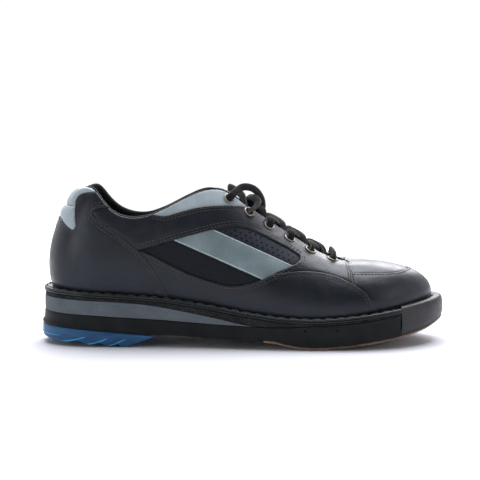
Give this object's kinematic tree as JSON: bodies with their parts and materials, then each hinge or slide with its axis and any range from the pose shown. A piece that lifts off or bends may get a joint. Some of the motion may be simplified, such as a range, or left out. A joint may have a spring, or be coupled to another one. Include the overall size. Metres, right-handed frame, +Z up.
{
  "type": "bowling shoe",
  "caption": "Laced right bowling shoe with a pull-off slide sole, pull-off toothed heel pad, wedge midsole, toe guard and padded collar.",
  "frame": {"origin": "on the floor, under the middle of the shoe's bounding box", "axes": "+X towards the toe, +Y towards the inner (medial) side of this right shoe, +Z up"},
  "size_m": [0.306, 0.1066, 0.119],
  "materials": {
    "leather_charcoal": "smooth coated leather, semi-matt",
    "leather_accent": "silver-green coated leather, semi-matt",
    "mesh_dark": "ribbed dark mesh",
    "lining_textile": "brushed textile",
    "foam": "open-cell foam",
    "board": "fibre board",
    "rubber_black": "matt moulded rubber",
    "welt_dark": "ribbed moulded welt strip",
    "runner_dark": "mottled foam strip",
    "eva_grey": "matt foam",
    "guard_leather": "dull wrapped leather",
    "slide_leather": "brushed suede",
    "heel_pad_blue": "semi-matt moulded rubber",
    "hook_black": "hook-and-loop pile",
    "lace_cord": "woven oval cord",
    "shank_steel": "spring steel strip",
    "eyelet_metal": "dull pressed metal",
    "aglet_plastic": "clear-dark film tip"
  },
  "bodies": {
    "shoe": {"outsole": "rubber_black", "midsole_wedge": "eva_grey", "midsole_runner": "runner_dark", "welt": "welt_dark", "toe_guard": "guard_leather", "shank": "shank_steel", "insole_board": "board", "footbed": "lining_textile", "heel_hook_panel": "hook_black", "forefoot_hook_panel": "hook_black", "toe_wrap": "leather_charcoal", "vamp": "leather_charcoal", "heel_pod_lower": "leather_accent", "heel_pod_upper": "leather_accent", "heel_stiffener": "board", "toe_puff": "board", "collar_foam": "foam", "vamp_lining": "lining_textile", "lace": "lace_cord", "aglet_lateral": "aglet_plastic", "aglet_medial": "aglet_plastic", "counter_lateral": "leather_charcoal", "side_band_lateral": "leather_accent", "mesh_panel_lateral": "mesh_dark", "perforated_panel_lateral": "leather_charcoal", "side_panel_lateral": "leather_charcoal", "collar_accent_lateral": "leather_accent", "eyestay_lateral": "leather_charcoal", "quarter_lining_lateral": "lining_textile", "eyelet_lateral_1": "eyelet_metal", "eyelet_lateral_2": "eyelet_metal", "eyelet_lateral_3": "eyelet_metal", "eyelet_lateral_4": "eyelet_metal", "eyelet_lateral_5": "eyelet_metal", "eyelet_lateral_6": "eyelet_metal", "counter_medial": "leather_charcoal", "side_band_medial": "leather_accent", "mesh_panel_medial": "mesh_dark", "perforated_panel_medial": "leather_charcoal", "side_panel_medial": "leather_charcoal", "collar_accent_medial": "leather_accent", "eyestay_medial": "leather_charcoal", "quarter_lining_medial": "lining_textile", "eyelet_medial_1": "eyelet_metal", "eyelet_medial_2": "eyelet_metal", "eyelet_medial_3": "eyelet_metal", "eyelet_medial_4": "eyelet_metal", "eyelet_medial_5": "eyelet_metal", "eyelet_medial_6": "eyelet_metal"},
    "heel_pad": {"heel_pad": "heel_pad_blue", "heel_pad_loop_backing": "hook_black"},
    "slide_sole": {"slide_sole": "slide_leather", "slide_sole_loop_backing": "hook_black"},
    "tongue": {"tongue_face": "leather_charcoal", "tongue_foam": "foam", "tongue_lining": "lining_textile", "tongue_loop": "leather_charcoal"}
  },
  "joints": [
    {"name": "heel_pad_release", "type": "slide", "parent": "shoe", "child": "heel_pad", "axis": [0, 0, -1], "range_m": [0, 0.02]},
    {"name": "slide_sole_release", "type": "slide", "parent": "shoe", "child": "slide_sole", "axis": [0, 0, -1], "range_m": [0, 0.02]},
    {"name": "tongue_press", "type": "hinge", "parent": "shoe", "child": "tongue", "pos_m": [0.1, 0, 0.05], "axis": [0, -1, 0], "range_deg": [0, 9], "stiffness_Nm_per_rad": 0.6, "springref_deg": -3.44}
  ]
}
